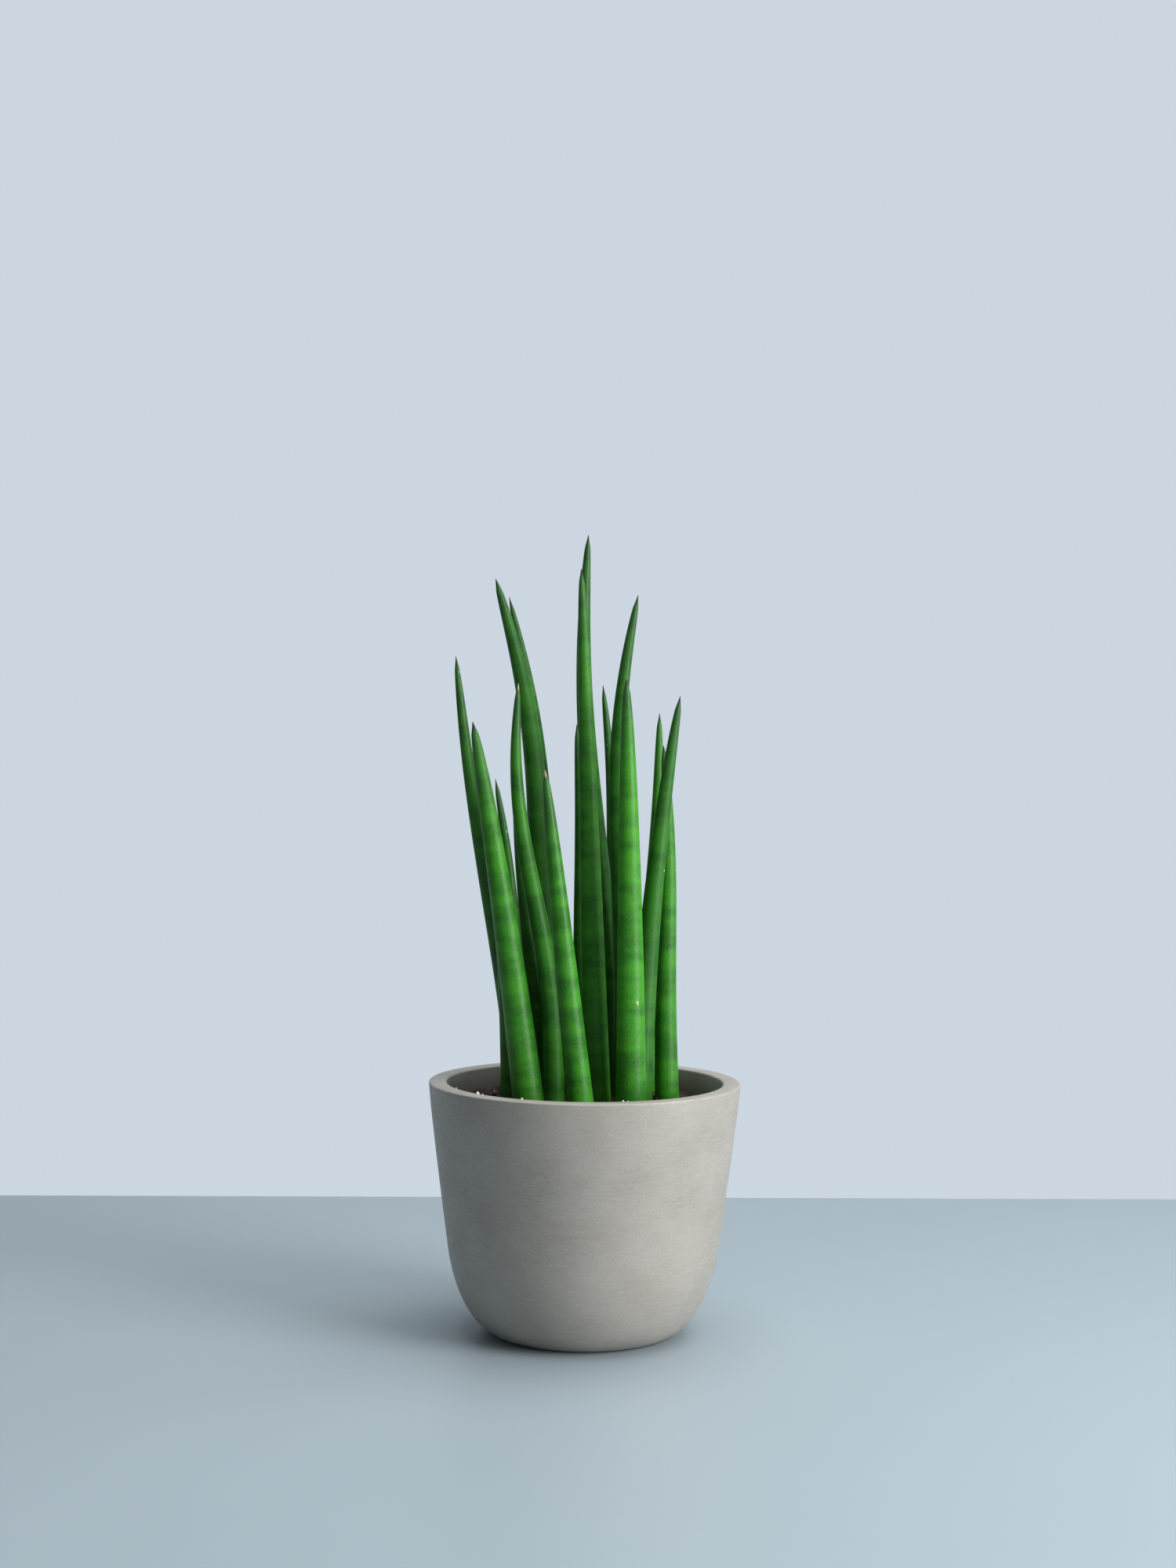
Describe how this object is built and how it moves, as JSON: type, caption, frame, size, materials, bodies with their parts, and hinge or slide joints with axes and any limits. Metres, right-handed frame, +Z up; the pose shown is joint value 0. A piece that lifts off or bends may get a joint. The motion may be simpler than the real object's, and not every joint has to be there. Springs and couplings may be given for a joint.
{
  "type": "potted snake plant",
  "caption": "Cylindrical snake plant with tall, round, pointed green leaves in soil, in a plain round taupe pot with a tapered side and a rounded base.",
  "frame": {"origin": "centre of the pot's flat underside, on the surface that it stands on", "axes": "+Z up along the pot's axis, +Y towards the back of the plant, +X to the right seen from the front"},
  "size_m": [0.1498, 0.1498, 0.3855],
  "materials": {
    "pot_composite": "matte",
    "potting_soil": "crumbly",
    "rhizome_skin": "satin",
    "leaf_skin": "satin"
  },
  "bodies": {
    "root": {"pot": "pot_composite", "soil": "potting_soil", "rhizome_front": "rhizome_skin", "rhizome_front_middle": "rhizome_skin", "rhizome_back_middle": "rhizome_skin", "rhizome_back": "rhizome_skin", "leaf_far_left": "leaf_skin", "leaf_front_left": "leaf_skin", "leaf_slender_left": "leaf_skin", "leaf_tall_left": "leaf_skin", "leaf_tall_left_back": "leaf_skin", "leaf_dry_tip_left": "leaf_skin", "leaf_centre": "leaf_skin", "leaf_tallest": "leaf_skin", "leaf_inner_left": "leaf_skin", "leaf_inner_centre": "leaf_skin", "leaf_dry_tip_front": "leaf_skin", "leaf_right_centre": "leaf_skin", "leaf_front_right": "leaf_skin", "leaf_hooked_back": "leaf_skin", "leaf_leaning_right": "leaf_skin", "leaf_right": "leaf_skin", "leaf_right_back": "leaf_skin", "leaf_low_left": "leaf_skin"}
  },
  "joints": []
}
